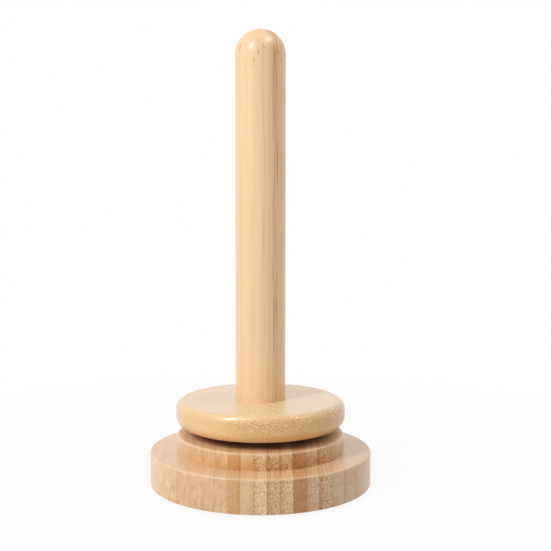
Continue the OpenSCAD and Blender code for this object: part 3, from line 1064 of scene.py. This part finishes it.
spindle_bamboo, tree, shader = new_material("spindle_bamboo_lacquered")
rod = use_grain(tree, ROD_TURN, Strip_thickness=ROD_STRIP_T, Strip_shift=SKIN_PLACE - ROD_STRIP_T,
                Mixed_sides=0.0, Bundle_spacing=1.9, Inner_bundles=0.17, Skin_bundles=0.34,
                Scatter=0.9, Sway=1.2, Seed=5.0)
place = place_mm(tree, ROD_TURN)
height = axes(tree, place)["Z"]
dome_mm = dome_z / MM
ground = blend(tree, remap(tree, rod["Clouds"], 0.3, 0.7), ROD_LIGHT, ROD_DARK)
second = blend(tree, product(tree, rod["Strip"], SECOND_SHARE), ground, SECOND_TONE)
toast = remap(tree, height, dome_mm - TOAST_FROM, dome_mm - TOAST_FULL, TOAST_LEAST, TOAST_MOST)
toasted = blend(tree, remap(tree, rod["Skin side"], 0.50, 1.0, 0.0, toast), second, TOAST_TONE)
print("strips meet", SKIN_PLACE, "mm right of the axis")

# %% [markdown]
# A few dark strands run up the rod on that side, bend a little and fade in and out. Each is a thin
# upright sheet in the wood, at an offset from the axis, so it shows as a line wherever the surface cuts
# it. The grain group could grow them, but the rod has only a few, each at its own place.

# %% Strands
BEND_CELL = (60.0, 60.0, 45.0)
BEND = 1.6
BREAK_CELL = (8.0, 8.0, 22.0)
STRAND_TONE = linear(146, 88, 38)
STRANDS = (
    {"offset": -1.85, "width": 0.28, "strength": 0.20, "seed": 61.0},
    {"offset": 1.25, "width": 0.30, "strength": 0.24, "seed": 3.0},
    {"offset": 2.95, "width": 0.34, "strength": 0.62, "seed": 17.0},
    {"offset": 4.9, "width": 0.46, "strength": 0.95, "seed": 40.0},
)


def strand(tree, place, offset, width, strength, seed):
    """How dark one strand is: its strength at an offset from the axis, in millimetres, and 0 away from it."""
    moved = vector_sums(tree, "ADD", place, (seed, seed, seed))
    bend = noise(tree, stretched(tree, moved, BEND_CELL), detail=1.0)
    bent = sums(tree, "ADD", axes(tree, place)["X"], sums(tree, "MULTIPLY_ADD", bend, BEND, -BEND / 2))
    away = sums(tree, "ABSOLUTE", sums(tree, "SUBTRACT", bent, offset))
    line = remap(tree, away, 0.3 * width, width, 1.0, 0.0)
    breaks = noise(tree, stretched(tree, moved, BREAK_CELL))
    return product(tree, line, remap(tree, breaks, 0.40, 0.60, 0.2 * strength, strength))


dark = 0.0
for values in STRANDS:
    dark = sums(tree, "MAXIMUM", strand(tree, place, **values), dark)
dark_share = product(tree, dark, remap(tree, rod["End grain"], 0.3, 0.7, 0.75, 0.10))
stranded = blend(tree, dark_share, toasted, STRAND_TONE)
print("strands:", len(STRANDS))

# %% [markdown]
# Bundles show where the dome begins to cut them, and less on the tip, which is sanded smooth. Short dark
# flecks lie round the foot of the dome and thin out down the rod.

# %% Dots and flecks of the spindle
FLECK_CELL = (1.8, 1.8, 6.0)
FLECK_REACH = 12.0
FLECK_SHARE = 0.55
FLECK_FADE, FLECK_END = 1.0, 5.0
ROD_DOT = linear(166, 112, 62)
ROD_FIBRE = linear(248, 219, 178)

inner_share = remap(tree, rod["End grain"], 0.02, 0.20, 0.08, 0.48)
dot_share = product(tree, rod["Bundles"], remap(tree, rod["Skin side"], 0.2, 0.8, inner_share, 0.50),
                    remap(tree, rod["End grain"], 0.20, 0.55, 1.0, 0.15))
fading_in = remap(tree, height, dome_mm - FLECK_REACH, dome_mm, 0.0, FLECK_SHARE)
fading_out = remap(tree, height, dome_mm + FLECK_FADE, dome_mm + FLECK_END, 1.0, 0.0)
nearest = spots(tree, stretched(tree, place, FLECK_CELL))["Distance"]
fleck_share = product(tree, fading_in, fading_out, remap(tree, nearest, 0.12, 0.28, 1.0, 0.0))
dotted = blend(tree, sums(tree, "MAXIMUM", dot_share, fleck_share), stranded, ROD_DOT)
streaked = blend(tree, remap(tree, rod["Fibres"], 0.40, 0.75, 0.0, 0.30), dotted, ROD_FIBRE)
plug(tree, streaked, shader.inputs["Base Color"])
print("spindle colour:", len(tree.nodes), "nodes")

# %% [markdown]
# The rod has a thin lacquer. The tip of the dome is open end grain, which drinks the lacquer, and yarn
# rubs it, so it is duller than the sides.

# %% Shine of the spindle
TIP_DULL = 0.40
ROD_COAT = 0.25
ROD_FIBRE_HEIGHT = 0.25

tip = remap(tree, rod["End grain"], 0.56, 0.84)
polish = remap(tree, rod["Fibres"], 0.2, 0.8, 0.28, 0.40)
plug(tree, sums(tree, "MULTIPLY_ADD", tip, TIP_DULL, polish), shader.inputs["Roughness"])
plug(tree, remap(tree, tip, 0.0, 1.0, ROD_COAT, 0.0), shader.inputs["Coat Weight"])
shader.inputs["Coat Roughness"].default_value = 0.28
raised = sums(tree, "MULTIPLY_ADD", rod["Fibres"], ROD_FIBRE_HEIGHT, noise(tree, place, scale=0.6))
add_bump(tree, shader, raised, strength=0.20, depth=0.1 * MM)
spindle.data.materials.append(spindle_bamboo)
print(spindle.name, "has", spindle_bamboo.name)

# %% [markdown]
# ## Hardware
#
# The bearing, the bolt and the insert are hidden in use. The bolt's head and the bearing's lower face
# show in the well under the base, and the spacer shows as a glint in the gap. They keep the frame's own
# meshes and get real finishes. A plain grey would do while they are hidden, but whoever lifts the holder
# sees them.
#
# Most of them were turned, and a tool leaves fine rings round the axis. The group gives those rings from
# the distance to the axis and the height, and a soft stain that breaks up the shine.

# %% Turning marks
turning, given, made = new_group("turning_marks", [("Vector", "Place"), ("Float", "Ring width")],
                                 [("Float", "Rings"), ("Float", "Stain")])
tree = turning
spot = axes(tree, given["Place"])
profile = add_node(tree, "ShaderNodeCombineXYZ")
from_axis = distance(tree, spot["X"], spot["Y"])
plug(tree, sums(tree, "DIVIDE", from_axis, given["Ring width"]), profile.inputs["X"])
plug(tree, sums(tree, "DIVIDE", spot["Z"], given["Ring width"]), profile.inputs["Y"])
plug(tree, noise(tree, profile.outputs[0], detail=3.0, roughness=0.7), made["Rings"])
plug(tree, noise(tree, given["Place"], scale=0.35, detail=4.0, roughness=0.6), made["Stain"])
print("turning marks group has", len(tree.nodes), "nodes")

# %% [markdown]
# Six metals share the marks. Each has a bright and a dull colour, a range of roughness, the width of its
# rings in millimetres and how deep they feel. The rings and the balls are ground and polished, the rest
# is pressed, plated or turned.

# %% Metals
RING_DEPTH = 0.03 * MM


def metal(name, bright, dull, polish, ring_width, bump):
    """A turned metal: its colour and its roughness vary with the rings and the stain."""
    material, tree, shader = new_material(name)
    marks = use_group(tree, turning, Place=place_mm(tree), Ring_width=ring_width)
    worn = blend(tree, remap(tree, marks["Stain"], 0.3, 0.7), linear(*bright), linear(*dull))
    ringed = blend(tree, remap(tree, marks["Rings"], 0.3, 0.7, 0.0, 0.25), worn, linear(*dull))
    plug(tree, ringed, shader.inputs["Base Color"])
    both = product(tree, sums(tree, "ADD", marks["Rings"], marks["Stain"]), 0.5)
    plug(tree, remap(tree, both, 0.3, 0.7, *polish), shader.inputs["Roughness"])
    shader.inputs["Metallic"].default_value = 1.0
    add_bump(tree, shader, marks["Rings"], bump, RING_DEPTH)
    return material


def dress(material, *nodes):
    for name in nodes:
        for slot in bpy.data.objects[name].material_slots:
            slot.material = material
    print(material.name, "on", len(nodes), "pieces")


BALLS = [f"bearing_ball_{number}" for number in range(1, 8)]
dress(metal("ring_steel_ground", bright=(205, 207, 210), dull=(172, 174, 178), polish=(0.16, 0.30),
            ring_width=0.08, bump=0.15), "bearing_outer_ring", "bearing_inner_ring")
dress(metal("shield_steel_satin", bright=(190, 192, 196), dull=(160, 163, 168), polish=(0.28, 0.42),
            ring_width=0.15, bump=0.10), "bearing_lower_shield", "bearing_upper_shield")
dress(metal("cage_steel_pressed", bright=(186, 178, 160), dull=(150, 142, 122), polish=(0.34, 0.50),
            ring_width=0.20, bump=0.10), "cage_lower_half", "cage_upper_half", "cage_rivets")
dress(metal("ball_steel_polished", bright=(222, 223, 226), dull=(206, 208, 212), polish=(0.05, 0.10),
            ring_width=0.50, bump=0.0), *BALLS)
dress(metal("fastener_zinc_plated", bright=(198, 203, 208), dull=(168, 174, 176), polish=(0.26, 0.46),
            ring_width=0.25, bump=0.20), "bolt_washer", "spacer_bush", "pivot_bolt")
dress(metal("insert_brass_turned", bright=(222, 184, 104), dull=(186, 142, 66), polish=(0.22, 0.38),
            ring_width=0.15, bump=0.20), "threaded_insert")

# %% [markdown]
# ### Rubber
#
# The pads are soft black rubber with a fine open grain. Dust settles in it, so the colour isn't even.
# Pores this small need no mesh, so a bump gives the grain.

# %% Pad finish
RUBBER_DARK, RUBBER_LIGHT = linear(34, 33, 33), linear(58, 56, 55)
DUST_TONE = linear(120, 114, 106)

pad_rubber, tree, shader = new_material("pad_rubber_black")
place = place_mm(tree)
pores = noise(tree, place, scale=2.2, detail=4.0, roughness=0.65)
dust = noise(tree, place, scale=0.25, detail=3.0)
rubber = blend(tree, pores, RUBBER_DARK, RUBBER_LIGHT)
dusty = blend(tree, remap(tree, dust, 0.45, 0.8, 0.0, 0.25), rubber, DUST_TONE)
plug(tree, dusty, shader.inputs["Base Color"])
plug(tree, remap(tree, pores, 0.2, 0.8, 0.75, 0.95), shader.inputs["Roughness"])
add_bump(tree, shader, pores, strength=0.5, depth=0.1 * MM)
for pad in pads:
    pad.data.materials.append(pad_rubber)
print(len(pads), "pads have", pad_rubber.name)
